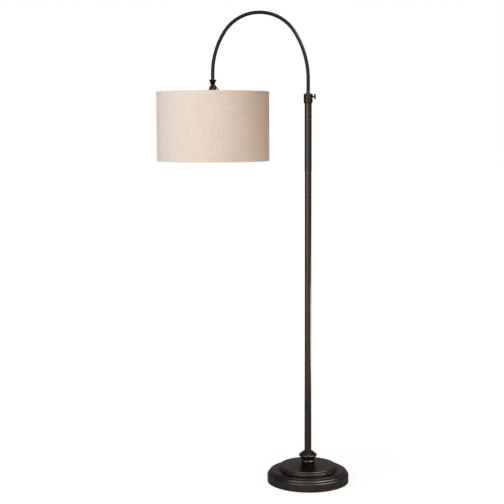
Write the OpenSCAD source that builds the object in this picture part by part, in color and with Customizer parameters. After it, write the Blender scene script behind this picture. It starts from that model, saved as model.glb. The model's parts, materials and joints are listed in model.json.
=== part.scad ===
// Floor lamp with an arched arm that slides and turns in its pole, and a drum shade on its end.
// Lengths are in millimetres. The pole stands on the Z axis, the floor is at z = 0, and the
// shade hangs on the -X side. The back of the lamp is +Y.

/* [Base] */
// Diameter of the base
base_d = 293; // [272:1:320]
// Height of the straight wall round the base
rim_h = 26.5; // [20:1:32]
// Radius of the lower roll on the shoulder
low_roll_r = 7; // [5:0.5:8]
// Radius of the upper roll on the shoulder
high_roll_r = 9; // [7:0.5:10]
// Width of the groove between the two rolls
groove_w = 1.2; // [0.8:0.1:1.6]
// Width of the ledge between the upper roll and the tier
ledge_w = 1.5; // [1:0.1:3]
// Height of the tier's edge above that ledge
tier_step = 2.4; // [2:0.1:4]
// Rise of the tier towards the crown
tier_rise = 1.6; // [1:0.1:4]
// Depth of the hollow in the tier's top
tier_hollow = 1; // [0:0.1:1.5]
// Diameter of the crown
crown_d = 204; // [180:1:212]
// Height of the crown's edge above the tier
crown_step = 14.6; // [13:0.1:18]
// Rise of the crown from its edge to the spindle
crown_rise = 8.4; // [6:0.1:14]
// Radius of the crown's rounded edge
crown_edge_r = 3; // [2:0.1:4.5]
// Radius of the bead round the foot of the crown
crown_bead_r = 3.4; // [2.6:0.1:4]
// Thickness of the cover's sheet
cover_wall = 1.5; // [1:0.1:2]
// Thickness of the felt pad
pad_t = 2.5; // [1.5:0.1:4]
// Height of the cover's lower edge above the floor
foot_gap = 1; // [0.5:0.1:1.4]
// Thickness of the iron disc
weight_t = 12; // [11:0.5:15]
// Space between the iron disc and the cover's wall
weight_gap = 8; // [7:0.5:12]
// Inside diameter of the cord bushing
cord_hole_d = 6.5; // [5:0.1:7]
// Height of the cord bushing's middle above the floor
cord_z = 11; // [10.5:0.1:15]

/* [Spindle] */
// Diameter of the bead ring on the base
ring_d = 51; // [46:0.5:56]
// Height of the bead on that ring
bead_h = 12; // [9:0.5:15]
// How far the bead swells
bead_swell = 3; // [1.5:0.1:4]
// Height of the neck between bead and knob
neck_h = 2.6; // [1.5:0.1:4]
// Diameter of the knob
knob_d = 65; // [58:0.2:70]
// Height of the knob
knob_h = 29.4; // [26:0.2:36]
// Height of the knob's widest line above its foot
knob_line_h = 12.6; // [11:0.2:14]
// Radius of the knob's rim
knob_rim_r = 4.6; // [3:0.1:6]
// Depth of the pole's seat in the knob
pole_seat = 7; // [5:0.5:10]
// Outside diameter of the threaded rod through base and spindle
rod_d = 9.8; // [9:0.1:10]
// Inside diameter of that rod
rod_bore = 6.6; // [5:0.1:7]

/* [Pole] */
// Outside diameter of the pole
pole_d = 25; // [22:0.1:26]
// Wall of the pole
pole_wall = 1; // [0.8:0.1:1.2]
// Length of one of the three pole tubes
section_l = 422.8; // [400:0.2:440]
// Height of the threaded plug in the pole's foot
foot_plug_h = 28; // [20:1:36]
// Length of a coupler between two tubes
coupler_l = 44; // [30:1:50]
// Bore of plugs and couplers
coupler_bore = 10.4; // [10:0.1:11]

/* [Collar and clamp] */
// Outside diameter of the collar
collar_d = 32; // [29:0.1:34]
// Length of pole inside the collar
collar_lap = 14.3; // [11:0.1:18]
// Height of the collar above the pole's end
collar_up = 19.3; // [18:0.1:24]
// Outside diameter of the guide bush
bush_d = 17.6; // [16.4:0.1:18]
// Length of bush inside the pole
bush_lap = 18; // [10:0.5:24]
// Height of the cone on the bush
cone_h = 8.5; // [6:0.1:10]
// Radius of the cone's foot
cone_r = 9.5; // [9.3:0.1:11]
// Height of the thumbscrew above the pole's end
screw_up = 9.6; // [7:0.1:11]
// Diameter of the thumbscrew's shank
screw_d = 5; // [4:0.1:6]
// Thread pitch of the thumbscrew
screw_pitch = 0.8; // [0.7:0.05:1]
// Diameter of the thumbscrew's head
screw_head_d = 20; // [16:0.5:22]
// Thickness of that head
screw_head_t = 6; // [4:0.1:8]
// Space between collar and head when the screw is tight
screw_reach = 5; // [4:0.1:8]
// Number of grips round the head
grips = 18; // [12:1:24]
// Diameter of the clamp pad
clamp_pad_d = 3.9; // [3:0.1:4]
// Length of the clamp pad
clamp_pad_l = 3; // [2:0.1:4]

/* [Arm] */
// Outside diameter of the arm tube
arm_d = 12.4; // [10.8:0.1:12.8]
// Wall of the arm tube
arm_wall = 0.9; // [0.7:0.1:1]
// Distance from the pole's axis to the shade's axis
arm_reach = 337; // [336:1:400]
// Height of the arch's top above the collar
arm_rise = 285.2; // [284:0.2:320]
// Radius of the arch at its top
arch_r = 145; // [120:5:145]
// Radius of the bend above the pole
pole_bend_r = 310; // [260:5:340]
// Radius of the bend above the shade
shade_bend_r = 270; // [240:5:310]
// Straight length of the arm above the shade
shade_leg_l = 34; // [30:0.2:60]
// How far the arm rises from its rest height
travel_up = 250; // [200:5:280]
// How far the arm sinks from its rest height
travel_down = 40; // [10:1:45]
// Length of the sleeve on the arm's tail
guide_l = 26; // [16:1:40]
// Thickness of a ring that holds the sleeve
clip_t = 1.2; // [0.8:0.1:2]
// Diameter of the cup at the arm's end
cup_d = 26.6; // [22:0.2:30]
// Height of that cup
cup_h = 16.8; // [14:0.2:24]
// Diameter of the cup's waist
waist_d = 15.4; // [14.6:0.1:17]
// Depth of the dish in the cup's top
cup_dish = 2; // [1:0.1:5]
// Outside diameter of the nipple
nipple_d = 9.4; // [8.8:0.1:9.4]
// Inside diameter of the nipple
nipple_bore = 6.6; // [5:0.1:7]

/* [Shade] */
// Diameter of the shade
shade_d = 400; // [360:1:440]
// Height of the shade
shade_h = 244; // [220:1:300]
// Distance from the arm cup's foot down to the shade's top edge
shade_drop = 25.8; // [22:0.2:34]
// Thickness of the linen
cloth_t = 0.6; // [0.4:0.1:1]
// Thickness of the plastic liner
liner_t = 0.6; // [0.4:0.1:1]
// Thickness of the folded hem
hem_t = 0.5; // [0.3:0.1:0.8]
// Height of the folded hem
hem_h = 6; // [5:0.1:12]
// Diameter of the ring wire
ring_wire_d = 3; // [2.4:0.1:3.4]
// Diameter of the spider's wires
spider_wire_d = 3.4; // [3:0.1:3.6]
// Direction of the first spider wire, in degrees from +X
spider_turn = -5; // [-30:1:20]
// Radius of the bend in a spider wire
wire_bend_r = 10; // [6:1:14]
// Thickness of the spider's hub
hub_t = 3.2; // [2.6:0.1:5]

/* [Socket and bulb] */
// Diameter of the socket cap
cap_d = 26.8; // [25:0.1:27.4]
// Diameter of the socket shell
shell_d = 32; // [32:0.1:34]
// Length of the socket shell's wide part
shell_l = 36; // [34:0.5:44]
// Height of the switch key above the shell's mouth
key_up = 29; // [28.8:0.1:30]
// Length of the key's grip
key_l = 13; // [9:0.5:16]
// Width of the key's grip
key_w = 12; // [8:0.5:13]
// Diameter of the bulb's screw base
bulb_base_d = 26.2; // [25.6:0.1:26.4]
// Diameter of the bulb
bulb_d = 60; // [50:1:66]
// Length of the bulb's glass below the socket
bulb_l = 80; // [78:1:92]
// Thickness of the bulb's glass
glass_t = 1; // [0.6:0.1:1.5]

/* [Hidden] */
$fn = 72;

// Clearances on the radius
fit_gap = 0.05; // pieces that are pressed, glued or screwed together
run_gap = 0.08; // a shaft that turns in its bore
slide_gap = 0.15; // the sleeve that slides in the pole
free_gap = 0.3; // pieces that pass without touching
eps = 0.01; // how far a cut reaches past a face

bronze = [0.16, 0.13, 0.12];
steel = [0.62, 0.63, 0.65];
brass = [0.72, 0.53, 0.26];
iron = [0.25, 0.25, 0.27];
linen = [0.84, 0.80, 0.74];
plastic = [0.12, 0.12, 0.12];
felt = [0.18, 0.18, 0.17];

// Points of an arc round c, from angle a0 to a1
function arc(c, r, a0, a1, n = 8) =
    [for (i = [0:n]) let (a = a0 + (a1 - a0) * i / n) c + r * [cos(a), sin(a)]];
// Points from a to b, drawn in towards the axis by s at the middle
function waisted(a, b, s, n = 6) =
    [for (i = [0:n]) let (t = i / n) a + (b - a) * t - [4 * s * t * (1 - t), 0]];
// Points from a to b, drawn down by s at the middle
function hollowed(a, b, s, n = 6) =
    [for (i = [0:n]) let (t = i / n) a + (b - a) * t - [0, 4 * s * t * (1 - t)]];
function moved(line, d) = [for (p = line) p + d];
function back(line) = [for (i = [len(line) - 1:-1:0]) line[i]];
function inner(line) = [for (i = [1:len(line) - 2]) line[i]];
function last(line) = line[len(line) - 1];
function snap(x) = round(x * 100) / 100;

// Base, from the floor up
base_r = base_d / 2;
low_c = [base_r - low_roll_r, rim_h];
low_roll = arc(low_c, low_roll_r, 75, 0);
groove = low_roll[0] + [-0.8, 0.35] * groove_w;
high_start = groove + [0.5, 0.5] * groove_w;
high_c = high_start - high_roll_r * [cos(8), sin(8)];
roll_top = high_c + [0, high_roll_r];
tier_r = roll_top[0] - ledge_w;
tier_z = snap(roll_top[1] + tier_step);
tier_edge_r = min(2, tier_step * 0.7);
crown_r = crown_d / 2;
crown_foot_z = tier_z + tier_rise;
crown_z = crown_foot_z + crown_step;
crown_bead_c = [crown_r + 1.6, crown_foot_z + crown_bead_r + 0.4];
crown_bead = arc(crown_bead_c, crown_bead_r, 105, -15);
seat_z = crown_z + crown_rise;
crown_hollow = 0.18 * crown_rise;
weight_r = base_r - cover_wall - weight_gap;
weight_top = pad_t + weight_t;
nut_h = 7;
nut_af = 17;
washer_t = 1.6;
recess_h = nut_h + washer_t + 3;
recess_d = 30;
rod_z0 = pad_t + 1.5;
cord_slot_w = 9;
bushing_neck_d = cord_hole_d + 3;
bushing_flange_d = bushing_neck_d + 5;

// Spindle and pole, from the base up
ring_r = ring_d / 2;
ring_foot_r = ring_r - bead_swell;
bead_r = (pow(bead_h / 2, 2) + pow(bead_swell, 2)) / (2 * bead_swell);
bead_a = asin(bead_h / 2 / bead_r);
seat_r = ring_foot_r + 2;
boss_r = seat_r - cover_wall - 0.5;
knob_z0 = seat_z + bead_h + neck_h;
knob_foot_r = ring_foot_r + 1.6;
knob_top = knob_z0 + knob_h;
knob_c = [knob_d / 2 - knob_rim_r, knob_z0 + knob_line_h];
pole_z0 = knob_top - pole_seat;
pole_r = pole_d / 2;
pole_top = pole_z0 + 3 * section_l;
rod_top = pole_z0 + foot_plug_h + 3;
rod_r = rod_d / 2;

// Collar and clamp
collar_z0 = pole_top - collar_lap;
collar_top = pole_top + collar_up;
collar_r = collar_d / 2;
collar_round = 4.6; // height of the rounding under the collar
collar_edge_r = 1.2;
collar_line_z = pole_top + 1.4; // the fine groove round the collar
bush_r = bush_d / 2;
bush_z0 = pole_top - bush_lap;
screw_z = pole_top + screw_up;
arm_r = arm_d / 2;
pad_x = arm_r + 0.1;
tip_x = pad_x + clamp_pad_l + fit_gap;
head_x = collar_r + screw_reach;
screw_hub_d = screw_d + 4;
screw_hub_t = 1.4;
screw_cone_h = 2.6; // the cone on the shank beside the collar

// Arm: on both sides of its top the arch is two arcs, which meet square to the direction lean
lean = [0.8432, 0.5376];
arch_top_z = collar_top + arm_rise;
pole_side_w = pole_bend_r - (pole_bend_r - arch_r) * lean[0];
pole_side_h = arch_r + (pole_bend_r - arch_r) * lean[1];
shade_side_w = shade_bend_r - (shade_bend_r - arch_r) * lean[0];
shade_side_h = arch_r + (shade_bend_r - arch_r) * lean[1];
arch_flat = arm_reach - pole_side_w - shade_side_w;
arm_end_z = snap(arch_top_z - shade_side_h - shade_leg_l);
guide_top = bush_z0 - travel_up - clip_t - 1;
clip_gap = 0.3;
tail_z = guide_top - guide_l - clip_t - 2 * clip_gap - 2;
shade_x = -arm_reach;

// Fittings at the arm's end, from the cup down
cup_floor = 5;
cup_z0 = arm_end_z - cup_floor;
cup_top = cup_z0 + cup_h;
waist_r = waist_d / 2;
nipple_r = nipple_d / 2;
nipple_top = arm_end_z + 13;
hub_z0 = cup_z0 - hub_t;
hub_boss_r = 5.6;
hub_boss_h = 2.2;
cap_top = hub_z0 - hub_boss_h;
cap_r = cap_d / 2;
cap_cone_h = 8.4;
cap_lip_h = 1.6;
cap_wall = 0.8;
cap_top_r = 7;
cap_z0 = cap_top - cap_cone_h - cap_lip_h;
nipple_nut_h = 3.6;
nipple_z0 = cap_top - 1.2 - nipple_nut_h - 1.2;
neck_r = cap_r - cap_wall - fit_gap;
shell_wall = 0.5;
shell_r = shell_d / 2;
neck_top = cap_z0 + cap_lip_h - 0.5;
neck_z0 = cap_z0 - 6.4;
shell_shoulder_z = neck_z0 - 2.6;
shell_z0 = shell_shoulder_z - shell_l;
sleeve_t = 0.6;
sleeve_r = shell_r - shell_wall - fit_gap;
body_r = sleeve_r - sleeve_t - fit_gap;
body_z0 = shell_z0 + 25;
screw_shell_t = 0.4;
screw_shell_r = bulb_base_d / 2 + free_gap + screw_shell_t;
contact_r = 4.5;
contact_t = 0.9;
bulb_tip_z = body_z0 - contact_t - 0.2;
key_z = shell_z0 + key_up;
key_shaft_d = 3.2;
key_t = 3.4;
key_clear = 3; // space between shell and grip

// Shade
shade_top = cup_z0 - shade_drop;
shade_z0 = shade_top - shade_h;
shade_r = shade_d / 2;
cloth_r = shade_r - hem_t - fit_gap;
liner_r = cloth_r - cloth_t - fit_gap;
wire_r = ring_wire_d / 2;
ring_c = liner_r - liner_t - wire_r - fit_gap;
edge_in = hem_t + fit_gap; // how far the cloth stops below the hem's fold
ring_in = edge_in + 0.3 + wire_r; // how far a ring's wire lies inside the shade's edge
ring_z = snap(shade_top - ring_in);
spider_wire_r = spider_wire_d / 2;
fall = [0.6, -0.8]; // direction in which a spider wire leaves the hub
wire_top = [waist_r - 0.5, cup_z0 - spider_wire_r - 0.25 - ring_z];
bend_top = wire_bend_r * (1 - fall[0]); // height of the bend over the wire's level part
wire_fall = snap((wire_top[1] - bend_top) / -fall[1]);
bend_x = snap(wire_top[0] + wire_fall * fall[0] - wire_bend_r * fall[1]);
wire_out = ring_c - wire_r - fit_gap; // radius at which a wire meets the ring
hem_in_r = wire_out - hem_t;

// A revolved solid from its outline in radius and height
module turned(points) {
    rotate_extrude() polygon(points);
}

module tube(r, bore_r, z0, z1) {
    translate([0, 0, z0]) difference() {
        cylinder(r = r, h = z1 - z0);
        translate([0, 0, -eps]) cylinder(r = bore_r, h = z1 - z0 + 2 * eps);
    }
}

module at_shade() {
    translate([shade_x, 0, 0]) children();
}

module base_pad() {
    color(felt) cylinder(r = base_r - cover_wall - 1.5, h = pad_t);
}

module base_weight() {
    color(iron) difference() {
        union() {
            tube(weight_r, rod_r + free_gap, pad_t, weight_top);
            translate([0, 0, weight_top])
                cylinder(r1 = boss_r + 18, r2 = boss_r, h = seat_z - cover_wall - weight_top);
        }
        translate([0, 0, pad_t - eps]) cylinder(d = recess_d, h = recess_h);
        cylinder(r = rod_r + free_gap, h = seat_z);
        translate([-cord_slot_w / 2, 0, pad_t - eps])
            cube([cord_slot_w, weight_r + 1, weight_t - 3]);
    }
}

cover_line = concat(
    [[rod_r + free_gap, seat_z]],
    [[seat_r, seat_z]],
    inner(hollowed([seat_r, seat_z], [crown_r - crown_edge_r, crown_z], crown_hollow, 8)),
    arc([crown_r - crown_edge_r, crown_z - crown_edge_r], crown_edge_r, 90, 0),
    [[crown_r, crown_bead[0][1] + 1]],
    crown_bead,
    [[last(crown_bead)[0], crown_foot_z]],
    inner(hollowed([last(crown_bead)[0], crown_foot_z], [tier_r - tier_edge_r, tier_z],
        tier_hollow)),
    arc([tier_r - tier_edge_r, tier_z - tier_edge_r], tier_edge_r, 90, 0, 5),
    [[tier_r, roll_top[1]]],
    arc(high_c, high_roll_r, 90, 8),
    [groove],
    low_roll,
    [[base_r, foot_gap]]);

module base_cover() {
    inside = concat([[rod_r + free_gap, seat_z - cover_wall]],
        moved(inner(cover_line), [-cover_wall, -cover_wall]), [[base_r - cover_wall, foot_gap]]);
    color(bronze) difference() {
        turned(concat(cover_line, back(inside)));
        translate([0, base_r + 1, cord_z]) rotate([90, 0, 0])
            cylinder(d = bushing_neck_d + 2 * fit_gap, h = cover_wall + 3);
    }
}

module cord_bushing() {
    flange_t = 1.6;
    in_y = sqrt(pow(base_r - cover_wall, 2) - pow(bushing_flange_d / 2, 2)) - fit_gap;
    out_y = base_r + fit_gap;
    color(plastic) translate([0, 0, cord_z]) rotate([-90, 0, 0]) difference() {
        union() {
            translate([0, 0, in_y - flange_t]) cylinder(d = bushing_flange_d, h = flange_t);
            translate([0, 0, in_y - eps])
                cylinder(d = bushing_neck_d, h = out_y - in_y + 2 * eps);
            translate([0, 0, out_y]) cylinder(d1 = bushing_flange_d,
                d2 = bushing_flange_d - 1.6, h = flange_t);
        }
        translate([0, 0, in_y - flange_t - 1])
            cylinder(d = cord_hole_d, h = out_y - in_y + 2 * flange_t + 2);
    }
}

module base_rod() {
    color(steel) tube(rod_r, rod_bore / 2, rod_z0, rod_top);
}

module base_washer() {
    z = pad_t + recess_h - washer_t - eps;
    color(steel) tube(12, rod_r + fit_gap, z, z + washer_t);
}

module base_nut() {
    z = pad_t + recess_h - washer_t - nut_h - eps;
    color(steel) translate([0, 0, z]) difference() {
        cylinder(r = nut_af / sqrt(3), h = nut_h, $fn = 6);
        translate([0, 0, -eps]) cylinder(r = rod_r + fit_gap, h = nut_h + 2 * eps);
    }
}

module seat_ring() {
    color(bronze) turned(concat(
        [[rod_r + fit_gap, seat_z]],
        arc([ring_r - bead_r, seat_z + bead_h / 2], bead_r, -bead_a, bead_a, 12),
        [[ring_foot_r - 1.2, seat_z + bead_h + 0.6], [ring_foot_r - 1.2, knob_z0],
            [rod_r + fit_gap, knob_z0]]));
}

module spindle_knob() {
    rim = arc(knob_c, knob_rim_r, -55, 45, 10);
    lip = [pole_r + 0.9, knob_top];
    color(bronze) turned(concat(
        [[rod_r + fit_gap, knob_z0]],
        waisted([knob_foot_r, knob_z0], rim[0], 0.7),
        inner(rim),
        waisted(last(rim), lip, -0.8, 8),
        [[pole_r + fit_gap, knob_top], [pole_r + fit_gap, pole_z0], [rod_r + fit_gap, pole_z0]]));
}

module pole_foot() {
    color(steel) tube(pole_r - pole_wall - fit_gap, rod_r + fit_gap, pole_z0,
        pole_z0 + foot_plug_h);
}

module pole_tube(i) {
    color(bronze) tube(pole_r, pole_r - pole_wall, pole_z0 + i * section_l,
        pole_z0 + (i + 1) * section_l);
}

module pole_lower() {
    pole_tube(0);
}

module pole_middle() {
    pole_tube(1);
}

module pole_upper() {
    pole_tube(2);
}

module pole_couplers() {
    color(steel) for (i = [1, 2]) {
        z = pole_z0 + i * section_l;
        tube(pole_r - pole_wall - fit_gap, coupler_bore / 2, z - coupler_l / 2,
            z + coupler_l / 2);
    }
}

module collar() {
    lower_r = pole_r + fit_gap;
    round_w = collar_r - lower_r - 0.5;
    under = [for (i = [0:8]) let (a = 90 * i / 8)
        [lower_r + 0.5 + round_w * sin(a), collar_z0 + collar_round * (1 - cos(a))]];
    color(bronze) difference() {
        turned(concat(
            [[lower_r, collar_z0]],
            under,
            [[collar_r, collar_line_z - 0.5], [collar_r - 0.5, collar_line_z],
                [collar_r, collar_line_z + 0.5]],
            arc([collar_r - collar_edge_r, collar_top - collar_edge_r], collar_edge_r, 0, 90, 5),
            [[bush_r + fit_gap, collar_top], [bush_r + fit_gap, pole_top], [lower_r, pole_top]]));
        translate([0, 0, screw_z]) rotate([0, 90, 0])
            cylinder(d = screw_d + 2 * run_gap, h = collar_r + 1);
    }
}

module guide_bush() {
    bore = arm_r + run_gap;
    color(bronze) difference() {
        turned(concat(
            [[bore, bush_z0], [bush_r, bush_z0], [bush_r, collar_top]],
            waisted([cone_r, collar_top], [bore + 0.5, collar_top + cone_h], 0.9),
            [[bore, collar_top + cone_h]]));
        translate([0, 0, screw_z]) rotate([0, 90, 0])
            cylinder(d = screw_d + 2 * run_gap, h = bush_r + 1);
    }
}

module thumbscrew() {
    grip_r = 0.8;
    head_r = screw_head_d / 2;
    edge = 1.4;
    color(bronze) translate([0, 0, screw_z]) rotate([0, 90, 0]) difference() {
        union() {
            translate([0, 0, tip_x]) cylinder(d = screw_d, h = head_x - tip_x + eps);
            translate([0, 0, collar_r + free_gap])
                cylinder(d1 = screw_d + 2.4, d2 = screw_d, h = screw_cone_h);
            translate([0, 0, head_x - screw_hub_t])
                cylinder(d = screw_hub_d, h = screw_hub_t + eps);
            translate([0, 0, head_x]) turned(concat([[0, 0]],
                arc([head_r - edge, edge], edge, -90, 0, 4),
                arc([head_r - edge, screw_head_t - edge], edge, 0, 90, 4),
                [[head_r * 0.7, screw_head_t], [head_r * 0.62, screw_head_t - 0.7],
                    [0, screw_head_t - 0.7]]));
        }
        for (i = [0:grips - 1]) rotate([0, 0, 360 * i / grips])
            translate([head_r + grip_r * 0.5, 0, head_x - eps])
                cylinder(r = grip_r, h = screw_head_t + 2 * eps);
    }
}

module clamp_pad() {
    color(plastic) translate([pad_x, 0, screw_z]) rotate([0, 90, 0])
        cylinder(d = clamp_pad_d, h = clamp_pad_l);
}

module pipe(l) {
    difference() {
        cylinder(r = arm_r, h = l);
        translate([0, 0, -eps]) cylinder(r = arm_r - arm_wall, h = l + 2 * eps);
    }
}

// A bent length of pipe in the XZ plane, between two directions from the middle of its bend
module bend(r, from, to) {
    rotate([90, 0, 0]) intersection() {
        rotate_extrude() translate([r, 0]) difference() {
            circle(r = arm_r);
            circle(r = arm_r - arm_wall);
        }
        linear_extrude(height = 2 * arm_d, center = true) polygon([[0, 0], 500 * from, 500 * to]);
    }
}

// One side of the arch, from its top down to the end of its straight leg
module arch_side(bend_r, leg_l) {
    c = [0, -arch_r] - (bend_r - arch_r) * lean;
    translate([0, 0, -arch_r]) bend(arch_r, [0, 1], lean);
    translate([c[0], 0, c[1]]) bend(bend_r, lean, [1, 0]);
    translate([c[0] + bend_r, 0, c[1]]) mirror([0, 0, 1]) pipe(leg_l);
}

module arm_tube() {
    color(bronze) translate([0, 0, arch_top_z]) union() {
        translate([-pole_side_w, 0, 0])
            arch_side(pole_bend_r, arch_top_z - pole_side_h - tail_z);
        translate([-pole_side_w, 0, 0]) rotate([0, -90, 0]) pipe(arch_flat);
        translate([shade_side_w - arm_reach, 0, 0]) mirror([1, 0, 0])
            arch_side(shade_bend_r, arch_top_z - shade_side_h - arm_end_z);
    }
}

module arm_guide() {
    color(linen) tube(pole_r - pole_wall - slide_gap, arm_r + run_gap, guide_top - guide_l,
        guide_top);
}

module guide_clips() {
    color(steel) for (z = [guide_top + clip_gap, guide_top - guide_l - clip_gap - clip_t])
        tube(arm_r + 2.2, arm_r + fit_gap, z, z + clip_t);
}

module arm_cup() {
    flare = [for (i = [0:8]) let (t = i / 8)
        [waist_r + (cup_d / 2 - waist_r) * (0.45 * t + 0.55 * t * t),
            cup_z0 + (cup_h - 0.8) * t]];
    color(bronze) at_shade() turned(concat(
        [[nipple_r + fit_gap, cup_z0]],
        flare,
        [[cup_d / 2, cup_top], [cup_d / 2 - 0.8, cup_top]],
        inner(waisted([cup_d / 2 - 0.8, cup_top], [arm_r + 1, cup_top - cup_dish], 0.5, 5)),
        [[arm_r + 1, cup_top - cup_dish], [arm_r + fit_gap, cup_top - cup_dish],
            [arm_r + fit_gap, arm_end_z], [nipple_r + fit_gap, arm_end_z]]));
}

module arm_nipple() {
    color(steel) at_shade() tube(nipple_r, nipple_bore / 2, nipple_z0, nipple_top);
}

module nipple_nut() {
    z = cap_top - 1.2 - nipple_nut_h;
    color(steel) at_shade() translate([0, 0, z]) difference() {
        cylinder(r = 6.8, h = nipple_nut_h, $fn = 6);
        translate([0, 0, -eps]) cylinder(r = nipple_r + fit_gap, h = nipple_nut_h + 2 * eps);
    }
}

// A spider wire falls from the hub, bends level and runs out to the ring
module spider_wire() {
    steep = wire_bend_r * [fall[1], -fall[0]];
    translate([bend_x, 0, 0]) rotate([0, 90, 0]) cylinder(r = spider_wire_r, h = wire_out - bend_x);
    translate([bend_x, 0, wire_bend_r]) {
        rotate([90, 0, 0]) intersection() {
            rotate_extrude() translate([wire_bend_r, 0]) circle(r = spider_wire_r);
            linear_extrude(height = 4 * spider_wire_r, center = true)
                polygon([[0, 0], 4 * steep, [0, -4 * wire_bend_r]]);
        }
        translate([steep[0], 0, steep[1]]) rotate([0, -asin(fall[0]), 0])
            cylinder(r = spider_wire_r, h = wire_fall);
    }
}

module shade_spider() {
    color(bronze) at_shade() difference() {
        union() {
            translate([0, 0, hub_z0]) cylinder(r = waist_r + 0.2, h = hub_t);
            translate([0, 0, cap_top]) cylinder(r = hub_boss_r, h = hub_boss_h + eps);
            translate([0, 0, ring_z]) for (i = [0:2])
                rotate([0, 0, spider_turn + 120 * i]) spider_wire();
        }
        translate([0, 0, cap_top - 1])
            cylinder(r = nipple_r + fit_gap, h = hub_t + hub_boss_h + 2);
    }
}

module wire_ring(z) {
    color(steel) at_shade() translate([0, 0, z]) rotate_extrude()
        translate([ring_c, 0]) circle(r = wire_r);
}

module shade_top_ring() {
    wire_ring(ring_z);
}

module shade_bottom_ring() {
    wire_ring(shade_z0 + ring_in);
}

module shade_liner() {
    color([0.92, 0.91, 0.88]) at_shade()
        tube(liner_r, liner_r - liner_t, shade_z0 + edge_in, shade_top - edge_in);
}

module shade_cloth() {
    color(linen) at_shade()
        tube(cloth_r, cloth_r - cloth_t, shade_z0 + edge_in, shade_top - edge_in);
}

// The hem is folded round the ring, so its section is a channel that opens away from the edge
module hem_channel() {
    turned([[hem_in_r, 0], [shade_r, 0], [shade_r, hem_h], [shade_r - hem_t, hem_h],
        [shade_r - hem_t, hem_t], [hem_in_r + hem_t, hem_t], [hem_in_r + hem_t, hem_h],
        [hem_in_r, hem_h]]);
}

// The top hem's inner leg is slit at each spider wire
module top_hem() {
    slit_w = spider_wire_d + 2 * free_gap;
    slit_top = ring_z + spider_wire_r + fit_gap;
    color(linen) at_shade() difference() {
        translate([0, 0, shade_top]) mirror([0, 0, 1]) hem_channel();
        for (i = [0:2]) rotate([0, 0, spider_turn + 120 * i])
            translate([hem_in_r - 2, -slit_w / 2, shade_top - hem_h - 1])
                cube([hem_t + 2.6, slit_w, slit_top - shade_top + hem_h + 1]);
    }
}

module bottom_hem() {
    color(linen) at_shade() translate([0, 0, shade_z0]) hem_channel();
}

module socket_cap() {
    lip_in = cap_r - cap_wall;
    color(bronze) at_shade() turned([
        [nipple_r + fit_gap, cap_top], [cap_top_r, cap_top],
        [cap_r, cap_top - cap_cone_h], [cap_r, cap_z0], [lip_in, cap_z0],
        [lip_in, cap_top - cap_cone_h - 0.4], [cap_top_r, cap_top - 1.2],
        [nipple_r + fit_gap, cap_top - 1.2]]);
}

module socket_shell() {
    w = shell_wall;
    color(brass) at_shade() difference() {
        turned([
            [neck_r - w, neck_top], [neck_r, neck_top], [neck_r, neck_z0],
            [shell_r, shell_shoulder_z], [shell_r, shell_z0 + 1.5], [shell_r + 0.6, shell_z0 + 0.7],
            [shell_r, shell_z0], [shell_r - w, shell_z0], [shell_r - w, shell_shoulder_z - 0.2],
            [neck_r - w, neck_z0 - 0.2]]);
        key_hole(key_shaft_d + 1.2);
    }
}

// A hole through one side of the socket, along the switch key's shaft
module key_hole(d) {
    translate([0, 0, key_z]) rotate([90, 0, 0]) translate([0, 0, 7])
        cylinder(d = d, h = shell_r);
}

module socket_sleeve() {
    color([0.75, 0.70, 0.60]) at_shade() difference() {
        tube(sleeve_r, sleeve_r - sleeve_t, shell_z0 + 0.6, shell_shoulder_z - 0.6);
        key_hole(key_shaft_d + 1.2);
    }
}

module socket_body() {
    top = shell_shoulder_z - 0.8;
    color(plastic) at_shade() difference() {
        union() {
            translate([0, 0, body_z0]) cylinder(r = body_r, h = top - body_z0);
            translate([0, 0, top]) cylinder(r = neck_r - shell_wall - 1.2,
                h = neck_z0 + 4 - top);
        }
        key_hole(key_shaft_d + 2 * run_gap);
    }
}

module screw_shell() {
    in_r = screw_shell_r - screw_shell_t;
    color(brass) at_shade() turned([
        [contact_r + 1.5, body_z0], [screw_shell_r, body_z0], [screw_shell_r, shell_z0 + 1],
        [in_r, shell_z0 + 1], [in_r, body_z0 - screw_shell_t],
        [contact_r + 1.5, body_z0 - screw_shell_t]]);
}

module centre_contact() {
    color(brass) at_shade() translate([0, 0, body_z0 - contact_t])
        cylinder(r = contact_r, h = contact_t);
}

module switch_key() {
    shaft_in = 8;
    grip_y = shell_r + key_clear;
    color(plastic) at_shade() translate([0, 0, key_z]) rotate([90, 0, 0]) union() {
        translate([0, 0, shaft_in]) cylinder(d = key_shaft_d, h = grip_y - shaft_in + 1);
        translate([0, 0, grip_y]) intersection() {
            translate([-key_w / 2, -key_t / 2, 0]) cube([key_w, key_t, key_l]);
            translate([0, 10, key_l - key_w / 2]) rotate([90, 0, 0])
                union() {
                    cylinder(d = key_w, h = 20);
                    translate([-key_w * 0.32, -key_l, 0]) cube([key_w * 0.64, key_l, 20]);
                }
        }
    }
}

module bulb_base() {
    r = bulb_base_d / 2;
    foot = shell_z0 - 2;
    color(steel) at_shade() turned([
        [0, bulb_tip_z], [4.2, bulb_tip_z], [5.2, bulb_tip_z - 1.2], [r - 2, bulb_tip_z - 3.6],
        [r, bulb_tip_z - 4.6], [r, foot], [r - 0.6, foot], [r - 0.6, foot + 6],
        [0, foot + 6]]);
}

// Outline of the bulb's glass from its neck to its tip, drawn in by w
function bulb_line(w) =
    let (neck = bulb_base_d / 2 - 0.6 - fit_gap, foot = shell_z0 - 2,
        c = [0, foot + 6 - fit_gap - bulb_l - 6 + bulb_d / 2],
        ball = arc(c, bulb_d / 2 - w, 38, -90, 16))
    concat([[neck - w, foot + 6 - fit_gap], [neck - w, foot - 6]],
        inner(waisted([neck - w, foot - 6], ball[0], 1.5)), ball);

module bulb_glass() {
    outside = bulb_line(0);
    inside = bulb_line(glass_t);
    color([0.95, 0.95, 0.93]) at_shade() turned(concat(outside, back(inside)));
}

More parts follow.
